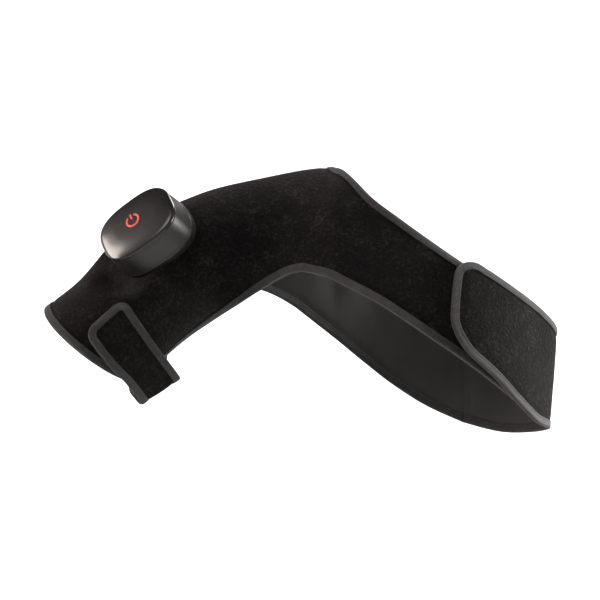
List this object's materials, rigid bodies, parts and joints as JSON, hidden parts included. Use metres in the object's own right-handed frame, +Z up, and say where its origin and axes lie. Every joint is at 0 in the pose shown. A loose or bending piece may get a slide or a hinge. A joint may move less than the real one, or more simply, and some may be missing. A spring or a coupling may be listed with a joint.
{
  "type": "heated shoulder wrap",
  "caption": "Black neoprene heated shoulder wrap in its worn form, with an arm sleeve, arm strap, chest band and a control pod on the sleeve.",
  "frame": {"origin": "on the lining at the top of the shoulder arch, where the wrap rests on the shoulder", "axes": "+X along the wrap from the shoulder to the far fold under the other arm, -Y the chest side, +Z up"},
  "size_m": [0.5092, 0.1789, 0.2773],
  "materials": {
    "loop_pile": "brushed loop pile outside, smooth knit inside",
    "binding_tape": "ribbed tape",
    "hook_tape": "matte hooks",
    "satin_plastic": "satin",
    "gloss_plastic": "gloss"
  },
  "bodies": {
    "root": {"shoulder_panel": "loop_pile", "chest_strap": "loop_pile", "arm_strap": "loop_pile", "chest_hook_patch": "hook_tape", "arm_hook_patch": "hook_tape", "neck_binding": "binding_tape", "front_binding": "binding_tape", "hem_binding": "binding_tape", "back_binding": "binding_tape", "chest_strap_binding": "binding_tape", "arm_strap_binding": "binding_tape", "pod_base": "satin_plastic", "pod_housing": "satin_plastic", "pod_lid": "gloss_plastic"}
  },
  "joints": []
}
